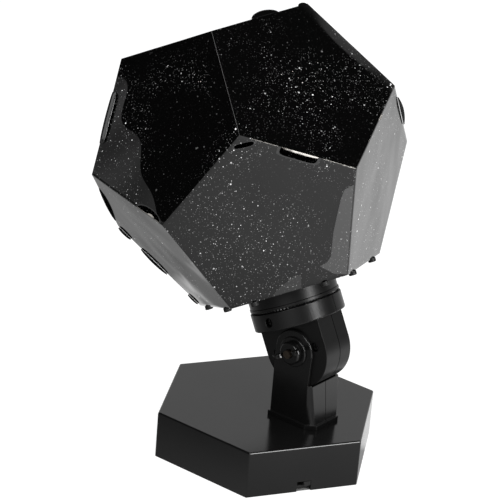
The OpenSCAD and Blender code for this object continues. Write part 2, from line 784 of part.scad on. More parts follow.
module neck_screws() {
    color(steel) in_head() {
        for (s = [-1, 1])
            translate([-knuckle_w / 2 + knuckle_screw_in, s * knuckle_screw_v, 0]) rotate([0, -90, 0])
                screw(screw_r, knuckle_w - knuckle_screw_in - 2.5, screw_head_r, screw_head_h);
        translate([-collar_r + collar_screw_in, 0, collar_screw_w]) rotate([0, -90, 0])
            screw(screw_r, collar_r + 8 - collar_screw_in, screw_head_r, screw_head_h);
    }
}

// ---------------------------------------------------------------- lamp

module lamp_stem() {
    color(steel) in_head() difference() {
        union() {
            translate([0, 0, stem_low]) cylinder(h = stem_top - stem_low, r = stem_r);
            translate([0, 0, stem_low]) cylinder(h = stem_flange_t, r = stem_flange_r);
        }
        translate([0, 0, stem_low - 1]) cylinder(h = stem_top - stem_low + 2, r = stem_bore_r);
        for (s = [-1, 1])
            translate([0, s * stem_screw_off, stem_low - 1]) cylinder(h = 4, r = small_screw_r + set_gap);
    }
}

module stem_screws() {
    color(steel) in_head() for (s = [-1, 1])
        translate([0, s * stem_screw_off, stem_low + stem_flange_t])
            screw(small_screw_r, stem_flange_t + 1.8, small_head_r, 1.2);
}

module lamp_socket() {
    color([0.85, 0.83, 0.78]) in_head() difference() {
        translate([0, 0, socket_low]) cylinder(h = socket_h, r = socket_r);
        translate([0, 0, socket_low - 1]) cylinder(h = stem_top - socket_low + 1, r = stem_r);
        translate([0, 0, stem_top - 1]) cylinder(h = socket_h, r = stem_bore_r);
        translate([0, 0, cap_low]) cylinder(h = socket_h, r = cap_r);
    }
}

module bulb_base() {
    color(brass) in_head() {
        difference() {
            translate([0, 0, cap_low]) cylinder(h = cap_h, r = cap_r);
            translate([0, 0, cap_low + 1.5]) cylinder(h = cap_h, r = cap_r - 0.5);
        }
        translate([0, 0, cap_low - 1.2]) cylinder(h = 1.4, r = 1.6);
    }
}

module bulb_glass() {
    neck_r = cap_r - 0.9;
    color([0.9, 0.95, 1, 0.35]) in_head() difference() {
        union() {
            translate([0, 0, centre_w]) sphere(r = bulb_r);
            translate([0, 0, cap_low + cap_h - 2.5]) cylinder(h = filament_h, r = neck_r);
        }
        translate([0, 0, centre_w]) sphere(r = bulb_r - 0.5);
        translate([0, 0, cap_low + cap_h - 2]) cylinder(h = filament_h, r = neck_r - 0.5);
        for (s = [-1, 1])
            translate([s * wire_off, 0, cap_low]) cylinder(h = cap_h, r = support_r, $fn = 16);
    }
}

module bulb_filament() {
    post_low = cap_low + 1.5;
    color(steel) in_head() {
        for (s = [-1, 1])
            translate([s * wire_off, 0, post_low]) cylinder(h = centre_w - post_low, r = support_r, $fn = 16);
        translate([0, 0, centre_w]) rod_x(-wire_off - 0.2, wire_off + 0.2, support_r + 0.05);
    }
}

module head_leads() {
    top = cap_low - 1.4;
    for (s = [-1, 1])
        color(s > 0 ? [0.7, 0.12, 0.1] : [0.1, 0.1, 0.1])
            in_head() wire([[s * lead_x, 5, -knuckle_r + 1.5], [s * 5.6, 8.5, -8], [s * 5.2, 8.5, 8],
                [0, s * lead_off, seat_low - 3], [0, s * lead_off, stem_low + 4], [0, s * lead_off, top]], lead_r);
}

// ---------------------------------------------------------------- turntable and tray

module turntable() {
    drum_in = drum_r - drum_wall;
    floor_top = drum_bottom + drum_flange_t;
    flange_top = flange_low + hub_flange_t;
    root = drum_r - 0.4 - tooth_h;
    step = 360 / ring_teeth;
    color(black) in_head() difference() {
        union() {
            rotate_extrude() polygon([[hub_bore_r, flange_low], [hub_flange_r, flange_low], [hub_flange_r, flange_top],
                [hub_r, flange_top], [hub_r, ring_low], [root, ring_low], [root, drum_bottom],
                [drum_flange_r, drum_bottom], [drum_flange_r, floor_top], [drum_r, floor_top + 0.3],
                [drum_r, drum_top], [drum_in, drum_top], [drum_in, floor_top], [hub_bore_r, floor_top]]);
            translate([0, 0, ring_low]) linear_extrude(drum_bottom - ring_low) difference() {
                polygon([for (i = [0:ring_teeth - 1], k = [0:1])
                    (k == 0 ? root - 0.2 : root + tooth_h) * [cos(step * (i + k / 2)), sin(step * (i + k / 2))]]);
                circle(r = hub_r + 1);
            }
            for (i = [0:tray_screws_n - 1])
                rotate(dome_turn + 36 + i * 360 / tray_screws_n) translate([tray_screw_ring, 0, floor_top - 0.5])
                    cylinder(h = drum_top - floor_top + 0.5, r = 3);
        }
        for (i = [0:tray_screws_n - 1])
            rotate(dome_turn + 36 + i * 360 / tray_screws_n) translate([tray_screw_ring, 0, drum_top - 6.5])
                cylinder(h = 8, r = screw_r);
    }
}

module tray_screws() {
    color(steel) in_head() for (i = [0:tray_screws_n - 1])
        rotate(dome_turn + 36 + i * 360 / tray_screws_n) translate([tray_screw_ring, 0, drum_top + tray_floor])
            screw(screw_r, tray_floor + 5.5, screw_head_r, screw_head_h);
}

// Places of the pegs: two on each lower edge of the film
module at_pegs() {
    for (i = [0:4])
        rotate(dome_turn + 36 + 72 * i)
            for (s = [-1, 1]) translate([face_apothem - peg_inset, s * peg_out, 0]) children();
}

module dome_tray() {
    color(black) in_head() difference() {
        rotate(dome_turn) translate([0, 0, drum_top])
            linear_extrude(tray_h, scale = tray_top_scale) circle(r = tray_apothem / cos(36), $fn = 5);
        rotate(dome_turn) translate([0, 0, drum_top + tray_floor])
            linear_extrude(tray_h) circle(r = (tray_apothem - tray_rim) / cos(36), $fn = 5);
        translate([0, 0, drum_top - 1]) cylinder(h = tray_floor + 2, r = hub_bore_r + 1);
        at_pegs() translate([0, 0, drum_top - 1]) cylinder(h = 1 + tray_h - 1, r = peg_r + set_gap / 2);
        for (i = [0:tray_screws_n - 1])
            rotate(dome_turn + 36 + i * 360 / tray_screws_n) translate([tray_screw_ring, 0, drum_top - 1])
                cylinder(h = tray_floor + 2, r = screw_hole_r);
    }
}

module film_pegs() {
    r = 0.5;
    color(black) in_head() at_pegs() {
        translate([0, 0, dome_low - 0.1]) cylinder(h = film_t + tray_h - 1.4, r = peg_r);
        translate([0, 0, dome_low - peg_head_h - 0.01]) rotate_extrude() {
            translate([0, r]) square([peg_head_r, peg_head_h - r]);
            square([peg_head_r - r, r]);
            translate([peg_head_r - r, r]) intersection() {
                circle(r = r, $fn = 32);
                translate([0, -r]) square(r);
            }
        }
    }
}

// ---------------------------------------------------------------- film

// Rings of corners, from the bottom to the top, at scale k about the middle of the dome
function ring(r, z, turn, k) = [for (i = [0:4])
    k * [r * cos(72 * i + turn), r * sin(72 * i + turn), z]];
function low_ring(k) = ring(face_r, -in_r, 0, k);
function belt_low(k) = ring(belt_r, -belt_z, 0, k);
function belt_high(k) = ring(belt_r, belt_z, 36, k);
function top_ring(k) = ring(face_r, in_r, 36, k);

module in_dome() {
    in_head() translate([0, 0, centre_w]) rotate(dome_turn) children();
}

// One half of the film: an end face and its side faces up to the zigzag belt, as a sheet of even thickness
module film_half(lower) {
    inner = (in_r - film_t) / in_r;
    points = lower
        ? concat(low_ring(1), belt_low(1), belt_high(1), low_ring(inner), belt_low(inner), belt_high(inner))
        : concat(top_ring(1), belt_high(1), belt_low(1), top_ring(inner), belt_high(inner), belt_low(inner));
    // corners of side face i: two of the end ring, two of the near belt, one of the far belt
    far = lower ? 0 : 1;
    outer_faces = [for (i = [0:4]) let (j = (i + 1) % 5)
        [i, j, 5 + j, 10 + (i + far) % 5, 5 + i]];
    outer = concat(outer_faces, [[4, 3, 2, 1, 0]]);
    back = [for (f = outer) [for (k = [len(f) - 1:-1:0]) 15 + f[k]]];
    belt_rim = [for (i = [0:4]) let (j = (i + 1) % 5, f = (i + far) % 5)
        each [[10 + f, 5 + j, 20 + j, 25 + f], [5 + i, 10 + f, 25 + f, 20 + i]]];
    faces = concat(outer, back, belt_rim);
    polyhedron(points, lower ? [for (f = faces) [for (k = [len(f) - 1:-1:0]) f[k]]] : faces);
}

// The plane of a side face, z outwards and x down for the upper faces, up for the lower ones
module on_face(lower, i) {
    rotate(72 * i + (lower ? 36 : 0)) rotate([0, lower ? 180 - face_tilt : face_tilt, 0])
        translate([0, 0, in_r]) rotate(lower ? 180 : 0) children();
}

// A flap with slanted ends along the edge of a face whose middle lies in direction a
module edge_flap(a, half, depth, slant, under, start) {
    translate([0, 0, -under - film_t]) linear_extrude(film_t) rotate(a)
        polygon([[face_apothem - start, -half], [face_apothem - start, half], [face_apothem - depth, half - slant],
            [face_apothem - depth, slant - half]]);
}

// The film's lower opening: the face less the five flaps folded under the tray
module flap_opening() {
    half = face_edge / 2 - 0.8 * flap_d;
    polygon([for (i = [0:4]) let (a = 72 * i, b = a + 36, r = face_apothem - flap_d)
        each [(face_r - 1.2) * [cos(a), sin(a)],
            [r * cos(b) + half * sin(b), r * sin(b) - half * cos(b)],
            [r * cos(b) - half * sin(b), r * sin(b) + half * cos(b)]]]);
}

module film_lower() {
    color(film_black) difference() {
        in_dome() difference() {
            union() {
                film_half(true);
                on_face(true, 2) edge_flap(-108, face_edge / 2 - tray_h, glue_d, glue_slant, film_merge - film_t, film_merge);
            }
            translate([0, 0, -in_r - 1]) linear_extrude(film_t + 1.5) flap_opening();
        }
        in_head() at_pegs() translate([0, 0, dome_low - 1]) cylinder(h = 2, r = peg_r + set_gap);
    }
}

module film_upper() {
    color(film_black) in_dome() {
        film_half(false);
        on_face(false, 0) edge_flap(108, face_edge / 2 - tray_h, glue_d, glue_slant, film_t - film_merge, film_t);
        // lock tabs tucked behind the lower faces
        for (i = [0:4])
            for (a = [36, -36])
                on_face(true, i) edge_flap(a, tab_l / 2, tab_d, tab_d / 3, film_t + 0.1, -0.1);
    }
}

base_shell();
base_plate();
base_screws();
battery_door();
battery_cells();
contact_plates();
contact_springs();
switch_can();
switch_knob();
base_leads();
post_left();
post_right();
post_screws();
pivot_bolt();
clamp_washers();
wing_nut();
neck_left();
neck_right();
neck_screws();
lamp_stem();
stem_screws();
lamp_socket();
bulb_base();
bulb_glass();
bulb_filament();
head_leads();
turntable();
tray_screws();
dome_tray();
film_pegs();
film_lower();
film_upper();
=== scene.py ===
import bmesh
import bpy
import json
import math
from functools import reduce
from mathutils import Matrix, Vector, noise
from mathutils.bvhtree import BVHTree

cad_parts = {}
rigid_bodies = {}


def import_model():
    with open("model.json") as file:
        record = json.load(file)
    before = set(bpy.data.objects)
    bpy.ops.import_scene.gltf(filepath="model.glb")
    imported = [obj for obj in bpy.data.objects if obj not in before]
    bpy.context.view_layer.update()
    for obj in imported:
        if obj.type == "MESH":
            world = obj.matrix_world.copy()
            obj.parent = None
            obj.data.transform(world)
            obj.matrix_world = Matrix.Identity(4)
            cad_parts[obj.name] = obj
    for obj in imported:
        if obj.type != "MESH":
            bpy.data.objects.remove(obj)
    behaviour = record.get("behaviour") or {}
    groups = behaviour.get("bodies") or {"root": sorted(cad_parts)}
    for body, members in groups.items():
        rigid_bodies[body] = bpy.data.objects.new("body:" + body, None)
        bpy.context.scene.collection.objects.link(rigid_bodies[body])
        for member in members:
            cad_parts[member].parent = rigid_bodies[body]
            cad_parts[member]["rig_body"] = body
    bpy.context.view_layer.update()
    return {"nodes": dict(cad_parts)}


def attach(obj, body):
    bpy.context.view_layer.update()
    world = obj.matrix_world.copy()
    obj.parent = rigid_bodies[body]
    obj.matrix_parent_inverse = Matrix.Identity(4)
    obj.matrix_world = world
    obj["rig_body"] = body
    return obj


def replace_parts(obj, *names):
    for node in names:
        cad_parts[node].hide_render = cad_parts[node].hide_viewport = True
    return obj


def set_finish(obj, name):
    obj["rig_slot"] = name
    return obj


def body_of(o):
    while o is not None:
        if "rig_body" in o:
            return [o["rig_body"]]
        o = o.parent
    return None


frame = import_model()


# ---------------------------------------------------------------- base shell
# A hexagonal box moulded in black plastic, open at the bottom. The mould gives it a satin skin,
# rounded upper and upright edges, and a notch in one rim for the switch.
class Level:
    """A socket of a finish. The operators on it add Math nodes."""

    def __init__(self, finish, socket):
        self.finish, self.socket = finish, socket

    def beside(self, name):
        """Another output of the same node."""
        return Level(self.finish, self.socket.node.outputs[name])

    def maths(self, operation, *values):
        return self.finish.node("Math", dict(operation=operation), *values)

    def __add__(self, other):
        return self.maths("ADD", self, other)

    def __sub__(self, other):
        return self.maths("SUBTRACT", self, other)

    def __rsub__(self, other):
        return self.maths("SUBTRACT", other, self)

    def __mul__(self, other):
        return self.maths("MULTIPLY", self, other)

    def __truediv__(self, other):
        return self.maths("DIVIDE", self, other)

    def __lt__(self, other):
        return self.maths("LESS_THAN", self, other)

    def __gt__(self, other):
        return self.maths("GREATER_THAN", self, other)

    def __pow__(self, other):
        return self.maths("POWER", self, other)

    def __abs__(self):
        return self.maths("ABSOLUTE", self)

    def at_least(self, other):
        """The larger of the two."""
        return self.maths("MAXIMUM", self, other)

    def eased(self, low, high, to_low=0.0, to_high=1.0):
        """Rises smoothly from to_low at low to to_high at high."""
        return self.finish.node("MapRange", dict(interpolation_type="SMOOTHSTEP"), self, low, high,
                                to_low, to_high)

    __radd__ = __add__


class Finish:
    """A procedural material. What is the same all over is set on the shader's own sockets."""

    def __init__(self, name, **constants):
        self.material = bpy.data.materials.new(name)
        self.material.use_nodes = True
        self.tree = self.material.node_tree
        self.shader = self.tree.nodes["Principled BSDF"]
        self.place = self.node("TexCoord", {}, out="Object")
        self.set(self.shader, constants)

    def set(self, node, values):
        """Sets or links a node's inputs, called by name or by number."""
        for name, value in values.items():
            socket = node.inputs[name.replace("_", " ") if isinstance(name, str) else name]
            if isinstance(value, Level):
                self.tree.links.new(value.socket, socket)
            else:
                socket.default_value = value

    def node(self, kind, settings, *values, out=0, **named):
        """Adds a node and gives the output asked for."""
        made = self.tree.nodes.new("ShaderNode" + kind)
        for name, value in settings.items():
            setattr(made, name, value)
        self.set(made, {**dict(enumerate(values)), **named})
        return Level(self, made.outputs[out])

    def vector(self, operation, *values, out=0, **named):
        return self.node("VectorMath", dict(operation=operation), *values, out=out, **named)

    def axis(self, letter):
        """One coordinate of the place, in metres."""
        return self.node("SeparateXYZ", {}, self.place, out=letter)

    def along(self, way, offset=None):
        """How far the place, or an offset, reaches along a way."""
        return self.vector("DOT_PRODUCT", offset or self.place, tuple(way), out="Value")

    def grain(self, scale, detail=2.0, place=None):
        """Cloudy noise with about that many patches to the metre."""
        return self.node("TexNoise", {}, Vector=place or self.place, Scale=scale, Detail=detail)

    def mix(self, share, low, high):
        made = self.node("Mix", dict(data_type="RGBA"), share, out=2)
        self.set(made.socket.node, {6: low, 7: high})
        return made

    def bump(self, height, distance):
        return self.node("Bump", {}, Height=height, Distance=distance)

    def paint(self, **named):
        self.set(self.shader, named)


def grey(level, warm=0.0):
    """A grey, or one that leans that much towards red."""
    return (level * (1 + warm), level, level * (1 - warm), 1)


def satin_plastic(name, tone, rough, texture, gloss=0.5, edge_from=None):
    """Moulded black plastic: a fine even texture, soft patches of wear and a few rubbed specks.
    A rounded upper edge, from the given height, is polished."""
    made = Finish(name, Specular_IOR_Level=gloss)
    if edge_from:
        height, rounding, polish = made.axis("Z"), 0.00105, 0.55
        on_edge = (height > edge_from) * (height < edge_from + rounding)
        rough = rough - on_edge * rough * polish
    patches = made.grain(38, 3)
    fine = made.grain(1900, 2)
    rubbed = made.grain(260, 4).eased(0.62, 0.72)
    made.paint(
        Base_Color=made.mix(patches, grey(tone * 0.8), grey(tone * 1.25)),
        Roughness=rough + (patches - 0.5) * 0.10 - rubbed * 0.05,
        Normal=made.bump(fine, texture))
    return made


def dress(finish, slot, *nodes):
    """Gives CAD nodes a finish in the slots they have."""
    for node in nodes:
        piece = frame["nodes"][node]
        for held in piece.material_slots:
            held.material = finish.material
        piece["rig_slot"] = slot


def as_piece(name, shape, *finishes, smooth=True):
    """Makes an object of a worked shape and gives it its finishes."""
    mesh = bpy.data.meshes.new(name)
    shape.to_mesh(mesh)
    shape.free()
    if smooth:
        mesh.polygons.foreach_set("use_smooth", [True] * len(mesh.polygons))
    for finish in finishes:
        mesh.materials.append(finish.material)
    piece = bpy.data.objects.new(name, mesh)
    bpy.context.scene.collection.objects.link(piece)
    return piece


def shade_evenly(piece):
    """Lets the large faces set the shading, so that narrow roundings don't darken them."""
    even = piece.modifiers.new("even shading", "WEIGHTED_NORMAL")
    even.keep_sharp = True


def soften(finish, slot, round_by, *nodes):
    """Replaces CAD nodes by copies whose edges are rounded as the mould rounds them. A corner
    whose rounding would run away stays close to where it was."""
    same_place, flat_joint, sharp_edge, far_away = 1e-6, math.radians(0.5), math.radians(35), 0.7
    for node in nodes:
        solid = frame["nodes"][node]
        shape = bmesh.new()
        shape.from_mesh(solid.data)
        bmesh.ops.remove_doubles(shape, verts=shape.verts, dist=same_place)
        bmesh.ops.dissolve_limit(shape, angle_limit=flat_joint, verts=shape.verts,
                                 edges=shape.edges)
        skin = BVHTree.FromBMesh(shape)
        sharp = [e for e in shape.edges
                 if len(e.link_faces) == 2 and e.calc_face_angle() > sharp_edge]
        bmesh.ops.bevel(shape, geom=sharp, offset=round_by, segments=2, profile=0.5,
                        affect="EDGES", material=-1, clamp_overlap=False)
        for v in shape.verts:
            nearest, _, _, away = skin.find_nearest(v.co)
            if away > round_by * far_away:
                v.co = nearest
        piece = as_piece(node + "_moulded", shape, finish)
        shade_evenly(piece)
        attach(piece, body_of(solid)[0])
        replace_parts(piece, node)
        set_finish(piece, slot)


base_black = satin_plastic("base_black_satin", 0.006, 0.17, 0.000012, edge_from=0.0284)
soften(base_black, "black_plastic", 0.0003, "base_shell")


# ---------------------------------------------------------------- bottom plate and battery door
# A plate of the same plastic closes the base, with the coarser texture of a spark-eroded mould.
# Its door swings on two pins and snaps shut with a sprung tongue.
plate_black = satin_plastic("plate_black_textured", 0.012, 0.5, 0.00008)
dress(plate_black, "bottom_plastic", "base_plate", "battery_door")


# ---------------------------------------------------------------- screws and contacts
# Zinc-plated steel with fine marks and slightly dulled plating: the screws underneath and inside,
# the cells' contacts and the filament. The screws that show and the switch's can are blackened.
def mottled(name, scale, detail, dark, light, smooth, rough, **constants):
    """A finish whose tone and roughness change together, in patches of one size."""
    made = Finish(name, **constants)
    patches = made.grain(scale, detail)
    made.paint(Base_Color=made.mix(patches, dark, light),
               Roughness=patches.eased(0.3, 0.7, smooth, rough))
    return made


zinc = mottled("zinc_plate", 900, 3, grey(0.50), grey(0.68, 0.02), 0.22, 0.4, Metallic=1.0)
zinc.paint(Normal=zinc.bump(zinc.grain(2600), 0.00002))
dress(zinc, "steel", "base_screws", "stem_screws", "tray_screws", "contact_plates",
      "contact_springs", "bulb_filament")

blackened = mottled("blackened_steel", 1200, 3, grey(0.008), grey(0.03), 0.4, 0.6, Metallic=0.7)
blackened.paint(Normal=blackened.bump(blackened.grain(1200, 3), 0.00002))
dress(blackened, "steel", "neck_screws", "post_screws", "switch_can")


# ---------------------------------------------------------------- battery cells
# Three cells side by side in plain metallic sleeves. Each sleeve is darker on the left third of
# its length.
sleeve = Finish("cell_sleeve", Metallic=0.6)
band_end = 0.008
sleeve.paint(Base_Color=sleeve.mix((sleeve.axis("X") + band_end) < 0, grey(0.30), grey(0.06)),
             Roughness=sleeve.grain(500).eased(0.3, 0.7, 0.28, 0.38))
dress(sleeve, "cell_can", "battery_cells")


# ---------------------------------------------------------------- switch
# A slide switch in the rim's notch: a ribbed grey knob, which slides in the blackened can behind
# the wall.
knob_grey = satin_plastic("switch_grey", 0.02, 0.42, 0.00003)
dress(knob_grey, "grey_plastic", "switch_knob")


# ---------------------------------------------------------------- leads
# Thin leads in soft sleeves, red on the right side and black on the left, from the cells to the
# switch and up to the lamp.
sleeves = Finish("lead_sleeves")
sleeves.paint(Base_Color=sleeves.mix(sleeves.axis("X") > 0, grey(0.02), (0.45, 0.03, 0.02, 1)),
              Roughness=sleeves.grain(800).eased(0.3, 0.7, 0.38, 0.5))
dress(sleeves, "lead_sleeve", "base_leads", "head_leads")


# ---------------------------------------------------------------- post
# Two mirrored black shells screwed together, standing in the base's top, with an eye on each
# side. A round raised washer lies on each eye.
post_black = satin_plastic("post_black_satin", 0.005, 0.22, 0.000015)
soften(post_black, "black_plastic", 0.00025, "post_left", "post_right")
soften(post_black, "black_plastic", 0.0002, "clamp_washers")

# painted shade: a matt black ribbon stands for the dark bottom of each seam's groove
painted_joint_shade = mottled("painted_joint_shade", 400, 2, grey(0.0004), grey(0.0012), 0.8, 0.95,
                     Specular_IOR_Level=0.1)


def joint_shade_line(node, x, width):
    """Paints the shade in the groove where two halves meet in the plane x: a black ribbon sunk in
    its bottom.
    """
    depth, sink, same_place = 0.00012, 0.00006, 2e-5
    solid = frame["nodes"][node]
    shape = bmesh.new()
    shape.from_mesh(solid.data)
    everything = shape.verts[:] + shape.edges[:] + shape.faces[:]
    cut = bmesh.ops.bisect_plane(shape, geom=everything, dist=1e-6, plane_co=(x, 0, 0),
                                 plane_no=(1, 0, 0))["geom_cut"]
    shape.normal_update()
    line = bmesh.new()
    half = Vector((width / 2, 0, 0))
    for e in cut:
        if isinstance(e, bmesh.types.BMEdge):
            way = sum((f.normal for f in e.link_faces), Vector())
            way.x = 0
            if way.length > 0.1:
                sunk = way.normalized() * -sink
                a, b = (v.co + sunk for v in e.verts)
                corners = a - half, b - half, b + half, a + half
                line.faces.new([line.verts.new(c) for c in corners])
    shape.free()
    bmesh.ops.remove_doubles(line, verts=line.verts, dist=same_place)
    piece = as_piece(node + "_joint_line", line, painted_joint_shade, smooth=False)
    wall = piece.modifiers.new("depth", "SOLIDIFY")
    wall.thickness, wall.offset = depth, 0
    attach(piece, body_of(solid)[0])
    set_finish(piece, "black_plastic")


joint_shade_line("post_left", 0.00098, 0.00042)


# ---------------------------------------------------------------- pivot bolt
# A bolt with a dulled yellow passivated finish. Its end shows in the wing nut, its head on the
# other side of the post. The bulb's base has the same finish.
passivated = mottled("bolt_passivated", 700, 4, (0.045, 0.036, 0.03, 1), (0.16, 0.13, 0.10, 1),
                     0.3, 0.5, Metallic=1.0)
dress(passivated, "bolt_brass", "pivot_bolt", "bulb_base")


# ---------------------------------------------------------------- wing nut
# A black moulded nut with two wings and polished edges. It clamps the neck between the cheeks
# of the post.
nut_black = satin_plastic("nut_black_gloss", 0.004, 0.2, 0.00001)
soften(nut_black, "knob_plastic", 0.0003, "wing_nut")


# ---------------------------------------------------------------- neck
# Two mirrored glossy black shells with a seam right of their middle. The knuckle turns between
# the cheeks, the collar holds the turntable.
neck_black = satin_plastic("neck_black_gloss", 0.004, 0.36, 0.000008, gloss=0.37)
soften(neck_black, "neck_plastic", 0.0003, "neck_left", "neck_right")
joint_shade_line("neck_left", 0.00238, 0.0005)


# ---------------------------------------------------------------- turntable and tray
# A drum with a thin flange turns on the collar, as glossy as the neck. The five-sided tray on it
# carries the film and is moulded like the post.
dress(neck_black, "neck_plastic", "turntable")
dress(post_black, "black_plastic", "dome_tray")


# ---------------------------------------------------------------- lamp
# A small bulb in a pale socket on a drawn aluminium stem, in the middle of the film. Its glass is
# clear and a little uneven.
drawn = mottled("stem_drawn_aluminium", 1500, 3, grey(0.55), grey(0.72), 0.25, 0.4, Metallic=1.0)
dress(drawn, "stem_aluminium", "lamp_stem")

socket_cream = satin_plastic("socket_cream", 0.6, 0.45, 0.00003)
dress(socket_cream, "socket_plastic", "lamp_socket")

clear = Finish("bulb_clear_glass", Transmission_Weight=1.0, IOR=1.5, Base_Color=grey(1.0))
clear.paint(Roughness=clear.grain(120).eased(0.3, 0.7, 0.0, 0.03))
dress(clear, "bulb_glass", "bulb_glass")


# ---------------------------------------------------------------- film pegs
# Short dull black pegs hold the film on the tray, two on each bottom edge. They are of the wing
# nut's plastic.
peg_black = satin_plastic("peg_black_dull", 0.004, 0.5, 0.00002)
dress(peg_black, "knob_plastic", "film_pegs")


# ---------------------------------------------------------------- film
# Thin black-printed film with clear star dots, folded to a dodecahedron in two halves that lock
# into each other with tabs. The film is glossy, never quite flat, and has crisp folds.
edge = 0.0698
thick = 0.0003
fifth = 72
to_face = edge / 2 * math.sqrt((25 + 11 * math.sqrt(5)) / 10)
face_r = edge / (2 * math.sin(math.pi / 5))
belt_r, belt_z = edge * 1.376382, edge * 0.262866
pivot = (0.001, -0.0252, 0.0761)
lean, turned = math.radians(-27), math.radians(39.5)
pivot_to_middle = 0.11652
dome_place = (Matrix.Translation(pivot) @ Matrix.Rotation(lean, 4, "X")
              @ Matrix.Translation((0, 0, pivot_to_middle)) @ Matrix.Rotation(turned, 4, "Z"))
middle = dome_place.translation
rings = dict(low=(face_r, -to_face, 0), under=(belt_r, -belt_z, 0),
             over=(belt_r, belt_z, fifth / 2), top=(face_r, to_face, fifth / 2))


def corner(ring, i):
    """A corner of the dodecahedron in its place: rings low, under, over, top; i counts round."""
    r, z, turn = rings[ring]
    a = math.radians(fifth * i + turn)
    return dome_place @ Vector((r * math.cos(a), r * math.sin(a), z))


class Seam:
    """An edge of the dodecahedron with a face beside it: its start, the way along it, the way
    into that face, and outwards."""

    def __init__(self, start, end, beside):
        self.start = corner(*start)
        self.along = (corner(*end) - self.start).normalized()
        inwards = corner(*beside) - self.start
        self.inwards = (inwards - self.along * inwards.dot(self.along)).normalized()
        self.outwards = self.along.cross(self.inwards).normalized()
        if self.outwards.dot(self.start - middle) < 0:
            self.outwards = -self.outwards

    def at(self, along, inwards, off=0.0):
        """A point, from millimetres along the edge, into the face and off the film."""
        way = along * self.along + inwards * self.inwards + off * self.outwards
        return self.start + way / 1000

    def oval(self, place, square, along, inwards, deep):
        """An opening with its sides along the seam: its middle, how square it is and its reach
        along the seam, into the face and outwards, in metres."""
        return place, square, self.along * along, self.inwards * inwards, self.outwards * deep


front_lock = Seam(("over", 2), ("under", 3), ("under", 2))
left_lock = Seam(("over", 1), ("under", 2), ("top", 2))
glue_seam = Seam(("under", 3), ("low", 3), ("over", 2))
right_top = Seam(("over", 3), ("top", 3), ("over", 2))


def star_dots(made, loose, faint):
    """Clear dots, from a few large ones to dust, the brightest of each place. They crowd together
    less the lower loose is; faint says how bright the dust is."""
    crowd = made.grain(24, 2)
    layers = []
    for scale, small, large, close, least, most, share in (
            (215, 0.00034, 0.00045, 0.01, 0.40, 1.0, 1),
            (380, 0.00030, 0.00016, 0.02, 0.12, 0.7, 1),
            (540, 0.00030, 0.00006, -0.01, 0.03, 0.26, faint),
            (800, 0.00028, 0.00004, -0.03, 0.02, 0.09, faint)):
        cell = made.node("TexVoronoi", {}, Vector=made.place, Scale=scale, out="Distance")
        draw = made.node("SeparateColor", {}, cell.beside("Color"))
        other = draw.beside("Green")
        width = small + other * other * other * large
        bright = draw * draw * (most * share) + least * share
        crowded = crowd.eased(loose + close, loose + close + 0.13, 0.08, 1.0)
        layers.append((cell / scale / width).eased(0.5, 1.0, 1.0, 0.0) * bright * crowded)
    return reduce(Level.at_least, layers)


def cut_out(made, openings):
    """Where the film is whole, and the rim around what is cut out of it."""
    rim_wide = 1.14
    whole, rims = [], []
    for place, square, *ways in openings:
        offset = made.vector("SUBTRACT", made.place, tuple(place))
        reach = reduce(Level.__add__, [abs(made.along(way / way.length_squared, offset)) ** square
                                       for way in ways])
        whole.append(reach > 1.0)
        rims.append(reach < rim_wide ** square)
    return reduce(Level.__mul__, whole), reduce(Level.at_least, rims)


def star_film(name, openings=(), bends=(), streaks=0.0, loose=0.47, faint=1.0, **constants):
    """Printed film, with its openings and bends. A bend is a point on its line, the way it falls
    off, its slope, how softly it sets in and the way along it: a hard bend is wavy, a soft one
    fades out towards its ends and blurs what the film mirrors. Streaks run along the glued seam."""
    made = Finish(name, **constants)
    stars = star_dots(made, loose, faint)
    height = made.grain(20, 1) * 0.0011
    if streaks:
        stretch, course = 0.9, tuple(glue_seam.along)
        shift = made.vector("SCALE", course, Scale=made.along(course) * stretch)
        stretched = made.vector("SUBTRACT", made.place, shift)
        on_right = made.axis("X").eased(0.02, 0.06)
        height = height + made.grain(55, 1, stretched) * on_right * streaks
    normal, blurred = made.bump(height, 1.0), stars * 0.3
    for line, way, slope, soft, course in bends:
        offset = made.vector("SUBTRACT", made.place, tuple(line))
        past, run, off = (made.along(axis, offset) for axis in (way, course, way.cross(course)))
        on_face = abs(off) < 0.001
        if soft == 1:
            # its line sways more and more along its course
            waves, phase, sway = 157, 9.896, 0.0676
            ripple = run * waves - phase
            past = past - ripple.maths("SINE", ripple) * run * sway
            bent = height - past.at_least(0.0) * slope
        else:
            # it fades in at the near end and out again towards the far one
            past = past.at_least(0.0)
            full = run.eased(0.0, 0.028) * run.eased(0.03, 0.065, 1.0, 0.1)
            bent = height - past ** soft * full * slope
            blurred = blurred + past * on_face * 26
        normal = made.mix(on_face, normal, made.bump(bent, 1.0))
    pale = stars
    if openings:
        whole, rim = cut_out(made, openings)
        pale = stars.at_least(rim * 0.03)
        made.paint(Alpha=whole)
    # painted light: the star dots glow, an emission that follows their brightness
    made.paint(Base_Color=made.mix(pale, grey(0.0015), grey(0.95)), Roughness=0.04 + blurred,
               Emission_Color=made.mix(stars, grey(0.0), grey(0.5)), Normal=normal,
               Emission_Strength=1.0)
    return made


slot_way = (front_lock.along * 0.84 - front_lock.inwards * 0.54).normalized()
slot_side = (front_lock.along * 0.54 + front_lock.inwards * 0.84).normalized()
glued_print = dict(loose=0.40, faint=1.7)
lower_film = star_film("star_film_lower", [
    front_lock.oval(front_lock.at(35.8, 0), 6, 0.0112, 0.0048, 0.004),
    (front_lock.at(4.6, 5.2), 3, slot_way * 0.0056, slot_side * 0.0015,
     front_lock.outwards * 0.004)], streaks=0.00035, IOR=1.5, **glued_print)

